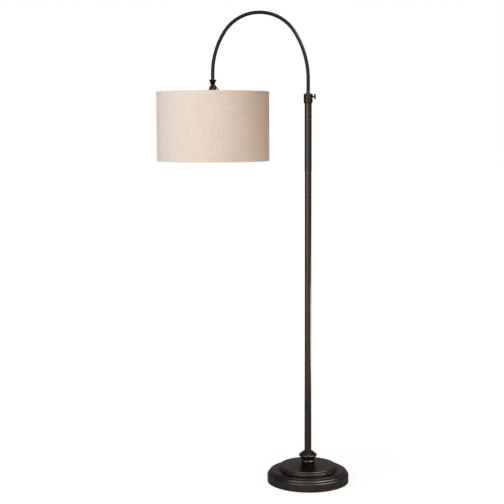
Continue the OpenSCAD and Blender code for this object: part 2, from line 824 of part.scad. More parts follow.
base_pad();
base_weight();
base_cover();
cord_bushing();
base_rod();
base_washer();
base_nut();
seat_ring();
spindle_knob();
pole_foot();
pole_lower();
pole_middle();
pole_upper();
pole_couplers();
collar();
guide_bush();
thumbscrew();
clamp_pad();
arm_tube();
arm_guide();
guide_clips();
arm_cup();
arm_nipple();
nipple_nut();
shade_spider();
shade_top_ring();
shade_bottom_ring();
shade_liner();
shade_cloth();
top_hem();
bottom_hem();
socket_cap();
socket_shell();
socket_sleeve();
socket_body();
screw_shell();
centre_contact();
switch_key();
bulb_base();
bulb_glass();
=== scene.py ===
import json
import math

import bmesh
import bpy
from mathutils import Matrix, Vector

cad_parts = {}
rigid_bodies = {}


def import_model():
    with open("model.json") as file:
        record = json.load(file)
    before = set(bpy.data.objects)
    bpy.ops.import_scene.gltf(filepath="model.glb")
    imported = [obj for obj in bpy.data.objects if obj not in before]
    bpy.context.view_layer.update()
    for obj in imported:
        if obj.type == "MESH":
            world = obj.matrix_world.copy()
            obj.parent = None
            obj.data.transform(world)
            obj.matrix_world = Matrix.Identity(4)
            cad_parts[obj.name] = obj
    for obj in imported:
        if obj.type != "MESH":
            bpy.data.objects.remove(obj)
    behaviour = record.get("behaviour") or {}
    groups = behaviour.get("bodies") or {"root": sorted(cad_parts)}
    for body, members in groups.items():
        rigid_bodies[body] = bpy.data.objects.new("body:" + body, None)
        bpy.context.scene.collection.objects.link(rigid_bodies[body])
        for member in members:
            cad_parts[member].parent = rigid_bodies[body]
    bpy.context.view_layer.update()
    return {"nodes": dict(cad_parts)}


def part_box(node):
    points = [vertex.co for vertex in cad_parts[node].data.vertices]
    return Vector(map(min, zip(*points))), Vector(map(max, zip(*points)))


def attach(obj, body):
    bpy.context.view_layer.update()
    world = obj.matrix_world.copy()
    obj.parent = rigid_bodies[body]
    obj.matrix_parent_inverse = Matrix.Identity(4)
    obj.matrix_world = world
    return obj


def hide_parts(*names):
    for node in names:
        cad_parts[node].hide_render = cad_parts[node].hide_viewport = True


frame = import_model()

MM, METRE = 0.001, 1000  # a millimetre in metres, and a metre in millimetres

# Sizes in millimetres, as in the part's source; R is a radius, H a height, T a thickness

# Base cover, from its rim to its crown
BASE_R, RIM_H, COVER_WALL, FOOT_GAP = 146.5, 26.5, 1.5, 1.0
LOW_ROLL_R, HIGH_ROLL_R, GROOVE_W, LEDGE_W = 7.0, 9.0, 1.2, 1.5
TIER_STEP, TIER_RISE, TIER_HOLLOW, TIER_EDGE_R = 2.4, 1.6, 1.0, 2.0
CROWN_R, CROWN_STEP, CROWN_RISE, CROWN_EDGE_R = 102.0, 14.6, 8.4, 3.0
CROWN_BEAD_R, CROWN_BEAD_OUT, CROWN_BEAD_UP = 3.4, 1.6, 0.4
CORD_Z, CORD_HOLE_R = 11.0, 4.8

# Gaps: around fixed pieces, around moving ones, and clearance holes
FIT, RUN, FREE = 0.05, 0.08, 0.3

# Spindle, pole and collar
ROD_R, RING_R, BEAD_H, BEAD_SWELL = 4.9, 25.5, 12.0, 3.0
KNOB_R, KNOB_LINE_H, KNOB_RIM_R, POLE_SEAT = 32.5, 12.6, 4.6, 7.0
POLE_R, POLE_WALL = 12.5, 1.0
COLLAR_R, COLLAR_ROUND, BUSH_R, CONE_R = 16.0, 4.6, 8.8, 9.5

# Thumbscrew
HEAD_R, HEAD_T, HEAD_REACH, HEAD_EDGE_R = 10.0, 6.0, 5.0, 1.4
GRIP_COUNT, GRIP_R = 18, 1.4
SHANK_R, PITCH, RIDGE_R, THREAD_L, THREAD_START = 2.5, 0.8, 0.24, 10.0, 6.5

# Arm and its cup; LEAN is the cosine and sine of the angle where the arm's bends meet
ARM_R, ARM_WALL, ARM_REACH, ARM_SEAT = 6.2, 0.9, 337.0, 5.0
ARCH_R, POLE_BEND_R, SHADE_BEND_R, LEAN = 145.0, 310.0, 270.0, (0.8432, 0.5376)
CUP_R, CUP_H, CUP_DISH, WAIST_R, NIPPLE_R = 13.3, 16.8, 2.0, 7.7, 4.7

# Shade, lamp holder and bulb
SHADE_R, CLOTH_T, LINER_T, HEM_T, HEM_H, RING_WIRE_R = 200.0, 0.6, 0.6, 0.5, 6.0, 1.5
SHADE_X, SPIDER_TURN = -ARM_REACH, -5.0
CAP_R, CAP_CONE_H, SHELL_R, KEY_HOLE_R = 13.4, 8.4, 16.0, 2.2
BULB_BASE_R, BULB_R, GLASS_T = 13.1, 30.0, 1.0


def low(node):
    """Height of a CAD node's lowest point."""
    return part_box(node)[0].z * METRE


def high(node):
    """Height of a CAD node's highest point."""
    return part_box(node)[1].z * METRE


# Camera: set from the photo's ellipses, its horizon and the heights along the pole; lengths in
# metres, angles in degrees

LENS, LENS_SHIFT = 85.51, -0.05
CAMERA_AT = (-0.0420, -4.2500, 1.277)
CAMERA_DOWN, CAMERA_ROLL, CAMERA_PAN = 4.757, 0.18, 2.11

camera = bpy.data.objects.new("camera", bpy.data.cameras.new("camera"))
bpy.context.collection.objects.link(camera)
camera.data.sensor_width = 36
camera.data.lens = LENS
camera.data.shift_y = LENS_SHIFT
camera.location = CAMERA_AT
camera.rotation_euler = [math.radians(a) for a in (90 - CAMERA_DOWN, CAMERA_ROLL, CAMERA_PAN)]
bpy.context.scene.camera = camera


# Node trees, wired up from Python expressions

class Wire:
    """A socket's value; arithmetic on it adds Math nodes."""

    def __init__(self, graph, socket):
        self.graph, self.socket = graph, socket

    def output(self, name):
        """Another output of the same node."""
        return Wire(self.graph, self.socket.node.outputs[name])

    def math(self, operation, *others):
        """A Math node with this value first."""
        values = dict(enumerate((self,) + others))
        return self.graph.add("ShaderNodeMath", {"operation": operation}, values)

    def __add__(self, other):
        return self.math("ADD", other)

    def __sub__(self, other):
        return self.math("SUBTRACT", other)

    def __rsub__(self, other):
        return self.graph.add("ShaderNodeMath", {"operation": "SUBTRACT"}, {0: other, 1: self})

    def __mul__(self, other):
        return self.math("MULTIPLY", other)

    def __truediv__(self, other):
        return self.math("DIVIDE", other)

    def __mod__(self, other):
        return self.math("MODULO", other)

    __radd__, __rmul__ = __add__, __mul__

    def dot(self, vector):
        """How far this vector points along another."""
        return self.graph.add("ShaderNodeVectorMath", {"operation": "DOT_PRODUCT"},
            {0: self, 1: vector}, "Value")

    def step(self, start, end):
        """0 below start, 1 above end, and smooth between them."""
        return self.graph.add("ShaderNodeMapRange", {"interpolation_type": "SMOOTHSTEP"},
            {"Value": self, "From Min": start, "From Max": end})


class Graph:
    """A node tree; add() makes every one of its nodes."""

    def __init__(self, tree):
        self.tree = tree

    def add(self, kind, settings=None, inputs=None, output=0):
        """Adds a node with its settings, then the values or wires of its sockets."""
        node = self.tree.nodes.new(kind)
        for name, value in (settings or {}).items():
            setattr(node, name, value)
        for name, value in (inputs or {}).items():
            if isinstance(value, Wire):
                self.tree.links.new(value.socket, node.inputs[name])
            else:
                node.inputs[name].default_value = value
        return Wire(self, node.outputs[output]) if len(node.outputs) else node


class Finish(Graph):
    """A material: one Principled shader and what feeds it."""

    def __init__(self, name, **constants):
        self.material = bpy.data.materials.new(name)
        self.material.use_nodes = True
        super().__init__(self.material.node_tree)
        self.tree.nodes.clear()
        self.shader = self.add("ShaderNodeBsdfPrincipled")
        self.add("ShaderNodeOutputMaterial", {}, {"Surface": self.shader})
        for name, value in constants.items():
            self.socket(name).default_value = value

    def socket(self, name):
        """The shader's input that a keyword such as base_color stands for."""
        return self.shader.socket.node.inputs[name.replace("_", " ").title().replace("Ior", "IOR")]

    def feed(self, **wires):
        """Links wires to the shader's inputs and returns the finished material."""
        for name, wire in wires.items():
            self.tree.links.new(wire.socket, self.socket(name))
        return self.material

    def place(self, stretch=(1, 1, 1)):
        """Object coordinates in millimetres, divided by stretch."""
        at = self.add("ShaderNodeTexCoord").output("Object")
        scale = [METRE / s for s in stretch]
        return self.add("ShaderNodeMapping", {}, {"Vector": at, "Scale": scale})

    def noise(self, at, size, detail=2.0, rough=0.5):
        """Noise with lumps of about size millimetres, from 0 to 1."""
        return self.add("ShaderNodeTexNoise", {},
            {"Vector": at, "Scale": 1 / size, "Detail": detail, "Roughness": rough})

    def blend(self, share, a, b):
        """Colour a where share is 0, and b where it is 1."""
        return self.add("ShaderNodeMix", {"data_type": "RGBA"}, {0: share, 6: a, 7: b}, 2)

    def bump(self, height, depth):
        """height runs from 0 to 1 over depth millimetres."""
        return self.add("ShaderNodeBump", {},
            {"Height": height, "Distance": depth * MM, "Strength": 1.0})


def rgb(red, green, blue):
    return (red, green, blue, 1.0)


# Finishes

def bronze_finish(name, stretch=(1, 1, 1), tint=(1.0, 1.0, 1.0), coat=0.25):
    """Dark rubbed bronze under satin lacquer, browner where hands and edges wear it."""

    def brown(*levels):
        return rgb(*(share * level for share, level in zip(tint, levels)))

    f = Finish(name, metallic=0.85, coat_weight=coat, coat_roughness=0.16,
        specular_tint=rgb(0.30, 0.28, 0.27))
    at = f.place(stretch)
    clouds = f.noise(at, 46, 3, 0.6)
    grain = f.noise(at, 2.4, 3, 0.65)
    worn = f.add("ShaderNodeAttribute", {"attribute_name": "worn"}).output("Fac")
    rubbed = (worn * 0.8 + grain * 0.5 + clouds * 0.5 - 0.62).step(0.35, 0.95)
    dark = f.blend(clouds.step(0.35, 0.7), brown(0.028, 0.023, 0.020), brown(0.042, 0.031, 0.026))
    speckled = f.blend(grain.step(0.52, 0.75) * 0.4, dark, brown(0.062, 0.042, 0.033))
    colour = f.blend(rubbed * 0.5, speckled, brown(0.095, 0.066, 0.052))
    rough = 0.26 + clouds * 0.08 + grain * 0.06
    return f.feed(base_color=colour, roughness=rough, normal=f.bump(grain, 0.0015))


def linen_finish():
    """Plain-woven linen with slubs; its UV map is in metres along and up the cloth."""
    f = Finish("linen", sheen_weight=0.15, sheen_roughness=0.6, ior=1.3)
    uv = f.add("ShaderNodeUVMap", {"uv_map": "cloth"})
    part = f.add("ShaderNodeSeparateXYZ", {}, {0: uv})
    across, up = part.output("X") * METRE, part.output("Y") * METRE
    thread_gap = 0.9

    def slub(along_u, length, width):
        """Streaks that run along or up the cloth, where its threads thicken."""
        size = (length, width, 1) if along_u else (width, length, 1)
        at = f.add("ShaderNodeMapping", {}, {"Vector": uv, "Scale": [METRE / s for s in size]})
        return f.noise(at, 1.0, 2, 0.55)

    warp, weft = across / thread_gap, up / thread_gap
    warp_crest = (warp * math.pi).math("SINE").math("ABSOLUTE")
    weft_crest = (weft * math.pi).math("SINE").math("ABSOLUTE")
    over = ((warp.math("FLOOR") + weft.math("FLOOR")) % 2).step(0.4, 0.6)
    weave = warp_crest * over * 0.7 + weft_crest * (1 - over) * 0.7 + warp_crest * weft_crest * 0.3
    weft_slub, warp_slub = slub(True, 34, 1.5), slub(False, 42, 1.7)
    broad, tall = slub(True, 160, 4.2), slub(False, 120, 4.6)
    thick = weft_slub.step(0.56, 0.72) + warp_slub.step(0.58, 0.74) * 0.8
    tone = weft_slub * 0.30 + warp_slub * 0.25 + broad * 0.25 + tall * 0.20
    thread = f.blend(tone.step(0.38, 0.62), rgb(0.652, 0.555, 0.484), rgb(0.744, 0.645, 0.573))
    # Between the thread crests the colour darkens towards brown: painted shade in the weave's
    # hollows.
    colour = f.blend((1 - weave) * 0.3, thread, rgb(0.48, 0.39, 0.315))
    colour = f.blend(thick * 0.22, colour, rgb(0.80, 0.735, 0.66))
    height = weave * 0.6 + thick * 0.4
    return f.feed(base_color=colour, roughness=0.82 + weave * 0.1, normal=f.bump(height, 0.16))


def film_finish():
    """White styrene film, a little uneven where it was rolled onto the cloth."""
    f = Finish("liner_film", coat_weight=0.05, coat_roughness=0.4)
    at = f.place()
    clouds, fine = f.noise(at, 70, 2), f.noise(at, 3, 2)
    colour = f.blend(clouds.step(0.3, 0.7), rgb(0.80, 0.775, 0.73), rgb(0.86, 0.84, 0.80))
    return f.feed(base_color=colour, roughness=0.42 + fine * 0.1, normal=f.bump(clouds, 0.25))


def metal_finish(name, light, dark, rough, stretch=(1, 1, 1), spots=0.5):
    """Bare or plated metal with drawn or turned lines and dull spots."""
    f = Finish(name, metallic=1.0)
    at = f.place(stretch)
    lines, clouds = f.noise(at, 0.8, 3), f.noise(f.place(), 9, 3, 0.6)
    dull = clouds.step(0.5, 0.72) * spots
    return f.feed(base_color=f.blend(dull, light, dark),
        roughness=rough + lines * 0.12 + dull * 0.2, normal=f.bump(lines, 0.012))


def plastic_finish(name, light, dark, rough, depth=0.02):
    """Moulded plastic or pressed card with a fine spark-eroded grain."""
    f = Finish(name, ior=1.45)
    at = f.place()
    grain, clouds = f.noise(at, 0.5, 2), f.noise(at, 12, 2)
    return f.feed(base_color=f.blend(clouds.step(0.3, 0.7), dark, light),
        roughness=rough + grain * 0.15, normal=f.bump(grain, depth))


def felt_finish():
    """Black pressed wool with its fibres lying flat."""
    f = Finish("felt", sheen_weight=0.5, sheen_roughness=0.5, ior=1.2)
    at = f.place((1, 1, 0.4))
    fibres, clouds = f.noise(at, 0.7, 4, 0.7), f.noise(at, 8, 2)
    colour = f.blend(fibres * 0.7 + clouds * 0.3, rgb(0.012, 0.012, 0.011), rgb(0.05, 0.05, 0.047))
    return f.feed(base_color=colour, roughness=0.9 + fibres * 0.1, normal=f.bump(fibres, 0.3))


def iron_finish():
    """Sand-cast iron with a little rust."""
    f = Finish("cast_iron", metallic=0.6)
    at = f.place()
    sand, rust = f.noise(at, 1.6, 4, 0.7), f.noise(at, 22, 4, 0.6)
    colour = f.blend(rust.step(0.5, 0.68), rgb(0.055, 0.055, 0.060), rgb(0.105, 0.060, 0.038))
    return f.feed(base_color=colour, roughness=0.62 + sand * 0.25, normal=f.bump(sand, 0.25))


def opal_finish():
    """Opal glass: white right through, with a faint cloudiness."""
    f = Finish("opal_glass", coat_weight=0.6, coat_roughness=0.05)
    clouds = f.noise(f.place(), 14, 2)
    colour = f.blend(clouds.step(0.3, 0.7), rgb(0.80, 0.80, 0.78), rgb(0.86, 0.86, 0.845))
    return f.feed(base_color=colour, roughness=0.28 + clouds * 0.08)


# The real lamp has one bronze. These five copies differ only in tint, and the tints are painted light
# and shade. The collar and arm are darkened as painted shade, and the pole is lightened as painted
# light. The cup, cap and spider get a copper cast as painted warm light. The plain bronze on the
# base, bush and thumbscrew is cooled towards the colour of its highlights as painted reflection.
BRONZE = bronze_finish("bronze", tint=(0.96, 1.04, 1.10))
COLLAR_SHADED_BRONZE = bronze_finish("collar_bronze", tint=(0.66, 0.66, 0.60), coat=0.12)
POLE_LIT_BRONZE = bronze_finish("pole_bronze", (1, 1, 4), tint=(1.12, 1.08, 1.05))
ARM_SHADED_BRONZE = bronze_finish("arm_bronze", tint=(0.46, 0.36, 0.27), coat=0.09)
FITTING_WARM_LIT_BRONZE = bronze_finish("fitting_bronze", tint=(0.72, 0.42, 0.24), coat=0.06)
LINEN = linen_finish()
FILM = film_finish()
BRASS = metal_finish("brass", rgb(0.135, 0.075, 0.030), rgb(0.085, 0.045, 0.020), 0.48, (1, 1, 0.2))
ZINC = metal_finish("zinc", rgb(0.52, 0.53, 0.55), rgb(0.34, 0.34, 0.34), 0.34, (1, 1, 0.3))
ALUMINIUM = metal_finish("aluminium", rgb(0.74, 0.74, 0.75), rgb(0.55, 0.55, 0.56), 0.26)
IRON = iron_finish()
FELT = felt_finish()
BLACK = plastic_finish("black_plastic", rgb(0.020, 0.020, 0.020), rgb(0.013, 0.013, 0.013), 0.42)
NYLON = plastic_finish("nylon", rgb(0.70, 0.67, 0.58), rgb(0.63, 0.60, 0.51), 0.40)
CARD = plastic_finish("card", rgb(0.52, 0.42, 0.28), rgb(0.44, 0.35, 0.22), 0.75, 0.05)
OPAL = opal_finish()


# Meshes

def mesh_piece(name, verts, faces, uvs, worn=None, sharp=35):
    """A smooth-shaded object with one UV pair for each face corner, in metres."""
    mesh = bpy.data.meshes.new(name)
    mesh.from_pydata([[c * MM for c in v] for v in verts], [], faces)
    layer = mesh.uv_layers.new(name="cloth")
    layer.data.foreach_set("uv", [c * MM for pair in uvs for c in pair])
    attribute = mesh.attributes.new("worn", "FLOAT", "POINT")
    attribute.data.foreach_set("value", worn or [0.0] * len(verts))
    mesh.shade_smooth()
    mesh.set_sharp_from_angle(angle=math.radians(sharp))
    mesh.validate()
    piece = bpy.data.objects.new(name, mesh)
    bpy.context.collection.objects.link(piece)
    return piece


def area(section):
    """Signed area: below 0 where the section runs clockwise."""
    return sum(a[0] * b[1] - b[0] * a[1] for a, b in zip(section, section[1:] + section[:1])) / 2


def wear_along(section, scale=3.0):
    """How far each point of a section stands out: 1 at a hard outer edge, 0 on a flat or a hollow."""
    wear = []
    for i, here in enumerate(section):
        before, after = Vector(section[i - 1]), Vector(section[(i + 1) % len(section)])
        here = Vector(here)
        a, b = here - before, after - here
        if a.length < 1e-6 or b.length < 1e-6:
            wear.append(0.0)
            continue
        turn = math.atan2(a.x * b.y - a.y * b.x, a.dot(b))
        length = min((a.length + b.length) / 2, 3.0)
        wear.append(min(max(scale * turn / length, 0.0), 1.0))
    return [max(wear[i], 0.4 * max(wear[i - 1], wear[(i + 1) % len(wear)]))
        for i in range(len(wear))]


def turned(name, section, x=0.0, steps=128, sharp=35):
    """A closed solid of revolution about the upright axis at x, from its section in (radius, height).

    The section runs once round, anticlockwise, and may start and end on the axis."""
    if area(section) < 0:
        section = section[::-1]
    on_axis = [r < 1e-6 for r, _ in section]
    if any(on_axis):
        start = next(i for i in range(len(section)) if on_axis[i] and on_axis[i - 1])
        section = section[start:] + section[:start]
        on_axis = on_axis[start:] + on_axis[:start]
    wear = wear_along(section)
    verts, worn, rows = [], [], []
    for (r, z), axis, amount in zip(section, on_axis, wear):
        count = 1 if axis else steps
        rows.append(range(len(verts), len(verts) + count))
        for i in range(count):
            a = 2 * math.pi * i / steps + math.pi / 2
            verts.append((x + r * math.cos(a), r * math.sin(a), z))
        worn += [amount] * count
    faces, uvs, run = [], [], 0.0
    reach = max(r for r, _ in section) * 2 * math.pi
    for i in range(len(section)):
        j = (i + 1) % len(section)
        low_row, high_row = rows[i], rows[j]
        v0, v1 = run, run + math.dist(section[i], section[j])
        run = v1
        if len(low_row) == len(high_row) == 1:
            continue
        for k in range(steps):
            u0, u1 = reach * k / steps, reach * (k + 1) / steps
            n = (k + 1) % steps
            if len(low_row) == 1:
                faces.append((low_row[0], high_row[n], high_row[k]))
                uvs += [((u0 + u1) / 2, v0), (u1, v1), (u0, v1)]
            elif len(high_row) == 1:
                faces.append((low_row[k], low_row[n], high_row[0]))
                uvs += [(u0, v0), (u1, v0), ((u0 + u1) / 2, v1)]
            else:
                faces.append((low_row[k], low_row[n], high_row[n], high_row[k]))
                uvs += [(u0, v0), (u1, v0), (u1, v1), (u0, v1)]
    return mesh_piece(name, verts, faces, uvs, worn, sharp)


def swept(name, path, radius, bore, steps=32):
    """A tube along points in the XZ plane, with a ring of points outside and inside at each."""
    rows, verts, along = [], [], [0.0]
    for a, b in zip(path, path[1:]):
        along.append(along[-1] + math.dist(a, b))
    rings = [(i, radius) for i in range(len(path))]
    rings += [(i, bore) for i in reversed(range(len(path)))]
    for i, r in rings:
        ahead = Vector(path[min(i + 1, len(path) - 1)]) - Vector(path[max(i - 1, 0)])
        ahead.normalize()
        side = Vector((ahead.y, -ahead.x))
        rows.append(range(len(verts), len(verts) + steps))
        for k in range(steps):
            a = 2 * math.pi * k / steps
            p = Vector(path[i]) + side * (r * math.cos(a))
            verts.append((p.x, r * math.sin(a), p.y))
    faces, uvs = [], []
    for i in range(len(rows)):
        j = (i + 1) % len(rows)
        v0, v1 = along[rings[i][0]], along[rings[j][0]]
        if abs(v1 - v0) < 1e-6:
            v1 = v0 + radius - bore
        for k in range(steps):
            n = (k + 1) % steps
            u0, u1 = 2 * math.pi * radius * k / steps, 2 * math.pi * radius * (k + 1) / steps
            faces.append((rows[i][k], rows[i][n], rows[j][n], rows[j][k]))
            uvs += [(u0, v0), (u1, v0), (u1, v1), (u0, v1)]
    return facing_out(mesh_piece(name, verts, faces, uvs))


def volume(piece):
    """The mesh's signed volume: below 0 where its faces point inwards."""
    total, co = 0.0, [v.co for v in piece.data.vertices]
    for face in piece.data.polygons:
        first = co[face.vertices[0]]
        for a, b in zip(face.vertices[1:], face.vertices[2:]):
            total += first.dot(co[a].cross(co[b]))
    return total / 6


def facing_out(piece):
    """Turns the faces round where they point inwards."""
    if volume(piece) < 0:
        piece.data.flip_normals()
    return piece


def arc(centre, radius, start, end, steps=12):
    """Points on an arc from one angle to another, in degrees, with both ends."""
    angles = [math.radians(start + (end - start) * i / steps) for i in range(steps + 1)]
    return [(centre[0] + radius * math.cos(a), centre[1] + radius * math.sin(a)) for a in angles]


def bowed(a, b, inward=0.0, down=0.0, steps=10):
    """Points between a and b, without the ends, drawn in and down at the middle."""
    line = []
    for i in range(1, steps):
        t = i / steps
        bulge = 4 * t * (1 - t)
        line.append((a[0] + (b[0] - a[0]) * t - inward * bulge,
            a[1] + (b[1] - a[1]) * t - down * bulge))
    return line


def dress(piece, body, slot, material, *nodes):
    """Gives a piece its finish and its place on a body, and lets it stand for CAD nodes."""
    piece.data.materials.append(material)
    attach(piece, body)
    if nodes:
        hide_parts(*nodes)
    return piece


def keep(node, material):
    """A CAD node whose own shape shows: it only gets a finish."""
    mesh = frame["nodes"][node].data
    mesh.materials.clear()
    mesh.materials.append(material)


def lying(piece, x, z):
    """Lays a piece that was made upright on the origin along +X, with its axis at height z."""
    for v in piece.data.vertices:
        up, y, out = v.co
        v.co = (out + x * MM, y, z * MM - up)
    return piece


def cut(piece, *tools):
    """Takes the tools' shapes out of a piece; each tool is a closed object, used up by the cut."""
    for tool in tools:
        knife = piece.modifiers.new("cut", "BOOLEAN")
        knife.operation, knife.solver, knife.object = "DIFFERENCE", "EXACT", tool
    bake(piece)
    for tool in tools:
        bpy.data.objects.remove(tool)
    piece.data.set_sharp_from_angle(angle=math.radians(35))
    return piece


def bake(piece):
    """Leaves a piece with the plain mesh that its modifiers make."""
    seen = piece.evaluated_get(bpy.context.evaluated_depsgraph_get())
    mesh = bpy.data.meshes.new_from_object(seen)
    piece.modifiers.clear()
    piece.data = mesh
    mesh.name = piece.name


def drill(at, towards, radius, length):
    """A round cutting tool from a point along a direction, in millimetres."""
    tool = bmesh.new()
    turn = Vector(towards).to_track_quat("Z", "Y").to_matrix().to_4x4()
    middle = (Vector(at) + Vector(towards) * length / 2) * MM
    bmesh.ops.create_cone(tool, cap_ends=True, segments=48, radius1=radius * MM,
        radius2=radius * MM, depth=length * MM, matrix=Matrix.Translation(middle) @ turn)
    return tool_object(tool)


def block(middle, size, turn):
    """A square cutting tool, turned about the upright axis through the shade's centre."""
    tool = bmesh.new()
    place = (Matrix.Translation((SHADE_X * MM, 0, 0)) @ Matrix.Rotation(math.radians(turn), 4, "Z")
        @ Matrix.Translation(Vector(middle) * MM) @ Matrix.Diagonal(Vector(size) * MM).to_4x4())
    bmesh.ops.create_cube(tool, size=1.0, matrix=place)
    return tool_object(tool)


def tool_object(tool):
    """Makes an object of a cutting tool's bmesh."""
    mesh = bpy.data.meshes.new("tool")
    tool.to_mesh(mesh)
    tool.free()
    made = bpy.data.objects.new("tool", mesh)
    bpy.context.collection.objects.link(made)
    return made


# Geometry Nodes, for what repeats

class Growth(Graph):
    """A Geometry Nodes tree with named inputs, baked to one plain mesh for each piece."""

    KINDS = {"Finish": "NodeSocketMaterial", "Place": "NodeSocketVector", "Turn": "NodeSocketVector",
        "Count": "NodeSocketInt"}

    def __init__(self, name, *inputs):
        super().__init__(bpy.data.node_groups.new(name, "GeometryNodeTree"))
        self.ids = {}
        for title in inputs + ("Finish",):
            kind = self.KINDS.get(title, "NodeSocketFloat")
            socket = self.tree.interface.new_socket(title, in_out="INPUT", socket_type=kind)
            self.ids[title] = socket.identifier
        self.tree.interface.new_socket("Geometry", in_out="OUTPUT",
            socket_type="NodeSocketGeometry")
        self.entry = self.add("NodeGroupInput")

    def given(self, title):
        """One of the tree's named inputs."""
        return self.entry.output(title)

    def end(self, shape):
        """Makes instances real, gives them their finish and closes the tree."""
        real = self.add("GeometryNodeRealizeInstances", {}, {0: shape})
        done = self.add("GeometryNodeSetMaterial", {},
            {"Geometry": real, "Material": self.given("Finish")})
        self.add("NodeGroupOutput", {}, {0: done})

    def grow(self, name, body, slot, **values):
        """Bakes one piece from the tree; sizes are given in metres."""
        piece = bpy.data.objects.new(name, bpy.data.meshes.new(name))
        bpy.context.collection.objects.link(piece)
        tree = piece.modifiers.new("growth", "NODES")
        tree.node_group = self.tree
        for title, value in values.items():
            tree[self.ids[title]] = value
        bake(piece)
        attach(piece, body)
        return piece


def thread_tree():
    """A round ridge wound up an axis, half sunk in the shank that it stands on."""
    g = Growth("thread", "Radius", "Pitch", "Length", "Ridge", "Place", "Turn")
    turns = g.given("Length") / g.given("Pitch")
    wound = g.add("GeometryNodeCurveSpiral", {}, {"Resolution": 40, "Rotations": turns,
        "Start Radius": g.given("Radius"), "End Radius": g.given("Radius"),
        "Height": g.given("Length")})
    ridge = g.add("GeometryNodeCurvePrimitiveCircle", {}, {"Resolution": 8,
        "Radius": g.given("Ridge")})
    solid = g.add("GeometryNodeCurveToMesh", {}, {"Curve": wound, "Profile Curve": ridge,
        "Fill Caps": True})
    smooth = g.add("GeometryNodeSetShadeSmooth", {}, {0: solid})
    g.end(g.add("GeometryNodeTransform", {}, {"Geometry": smooth,
        "Translation": g.given("Place"), "Rotation": g.given("Turn")}))
    return g


def grip_tree():
    """Upright ribs set round a rim."""
    g = Growth("grips", "Radius", "Count", "Length", "Rib", "Place", "Turn")
    ring = g.add("GeometryNodeMeshCircle", {}, {"Vertices": g.given("Count"),
        "Radius": g.given("Radius")})
    rib = g.add("GeometryNodeMeshCylinder", {"fill_type": "NGON"}, {"Vertices": 12,
        "Side Segments": 1, "Radius": g.given("Rib"), "Depth": g.given("Length")})
    ribs = g.add("GeometryNodeInstanceOnPoints", {}, {"Points": ring, "Instance": rib})
    g.end(g.add("GeometryNodeTransform", {}, {"Geometry": ribs,
        "Translation": g.given("Place"), "Rotation": g.given("Turn")}))
    return g


THREAD, GRIPS = thread_tree(), grip_tree()


# Base and spindle

def cover_line():
    """The cover's outside, from the hole in its crown out and down to its foot."""
    low_c = (BASE_R - LOW_ROLL_R, RIM_H)
    low_roll = arc(low_c, LOW_ROLL_R, 75, 0)
    groove = (low_roll[0][0] - 0.8 * GROOVE_W, low_roll[0][1] + 0.35 * GROOVE_W)
    start = (groove[0] + 0.5 * GROOVE_W, groove[1] + 0.5 * GROOVE_W)
    roll_end = 8
    high_c = (start[0] - HIGH_ROLL_R * math.cos(math.radians(roll_end)),
        start[1] - HIGH_ROLL_R * math.sin(math.radians(roll_end)))
    roll_top = (high_c[0], high_c[1] + HIGH_ROLL_R)
    tier_r, tier_z = roll_top[0] - LEDGE_W, round(roll_top[1] + TIER_STEP, 2)
    edge_r = min(TIER_EDGE_R, TIER_STEP * 0.7)
    foot_z = tier_z + TIER_RISE
    crown_z = foot_z + CROWN_STEP
    seat_z, seat_r = crown_z + CROWN_RISE, RING_R - BEAD_SWELL + 2
    crown_edge = (CROWN_R - CROWN_EDGE_R, crown_z)
    bead = arc((CROWN_R + CROWN_BEAD_OUT, foot_z + CROWN_BEAD_R + CROWN_BEAD_UP), CROWN_BEAD_R,
        105, -15)
    bead_foot = (bead[-1][0], foot_z)
    return ([(ROD_R + FREE, seat_z), (seat_r, seat_z)]
        + bowed((seat_r, seat_z), crown_edge, down=0.18 * CROWN_RISE, steps=16)
        + arc((crown_edge[0], crown_z - CROWN_EDGE_R), CROWN_EDGE_R, 90, 0)
        + [(CROWN_R, bead[0][1] + 1)] + bead + [bead_foot]
        + bowed(bead_foot, (tier_r - edge_r, tier_z), down=TIER_HOLLOW)
        + arc((tier_r - edge_r, tier_z - edge_r), edge_r, 90, 0, 6)
        + [(tier_r, roll_top[1])]
        + arc(high_c, HIGH_ROLL_R, 90, roll_end)
        + [groove] + low_roll
        + [(BASE_R, z) for z in (20.0, 14.0, 8.0)]
        + [(BASE_R, FOOT_GAP + 0.4), (BASE_R - 0.4, FOOT_GAP)])


def base_cover():
    """The spun cover: its outside, and the same line moved in by the wall."""
    outside = cover_line()
    seat_z = outside[0][1]
    inside = [(r - COVER_WALL, z - COVER_WALL) for r, z in outside[1:-4]]
    inside = [(ROD_R + FREE, seat_z - COVER_WALL)] + inside + [(BASE_R - COVER_WALL, FOOT_GAP)]
    return turned("cover", outside + inside[::-1], steps=192)


def seat_ring():
    """The bead on the cover, with a short neck above it."""
    z0, foot_r = low("seat_ring"), RING_R - BEAD_SWELL
    bead_r = ((BEAD_H / 2) ** 2 + BEAD_SWELL ** 2) / (2 * BEAD_SWELL)
    spread = math.degrees(math.asin(BEAD_H / 2 / bead_r))
    top, neck_r = high("seat_ring"), foot_r - 1.2
    return turned("bead_ring", [(ROD_R + FIT, z0)]
        + arc((RING_R - bead_r, z0 + BEAD_H / 2), bead_r, -spread, spread, 20)
        + [(neck_r, z0 + BEAD_H + 0.6), (neck_r, top), (ROD_R + FIT, top)])


def spindle_knob():
    """The knob: a waist, a round rim, and a slope up to the seat that holds the pole."""
    z0, top = low("spindle_knob"), high("spindle_knob")
    rim = arc((KNOB_R - KNOB_RIM_R, z0 + KNOB_LINE_H), KNOB_RIM_R, -55, 45, 16)
    foot, lip = (RING_R - BEAD_SWELL + 1.6, z0), (POLE_R + 0.9, top)
    seat = top - POLE_SEAT
    return turned("knob", [(ROD_R + FIT, z0), foot] + bowed(foot, rim[0], inward=0.7)
        + rim + bowed(rim[-1], lip, inward=-0.8, steps=14)
        + [lip, (POLE_R + FIT, top), (POLE_R + FIT, seat), (ROD_R + FIT, seat)])


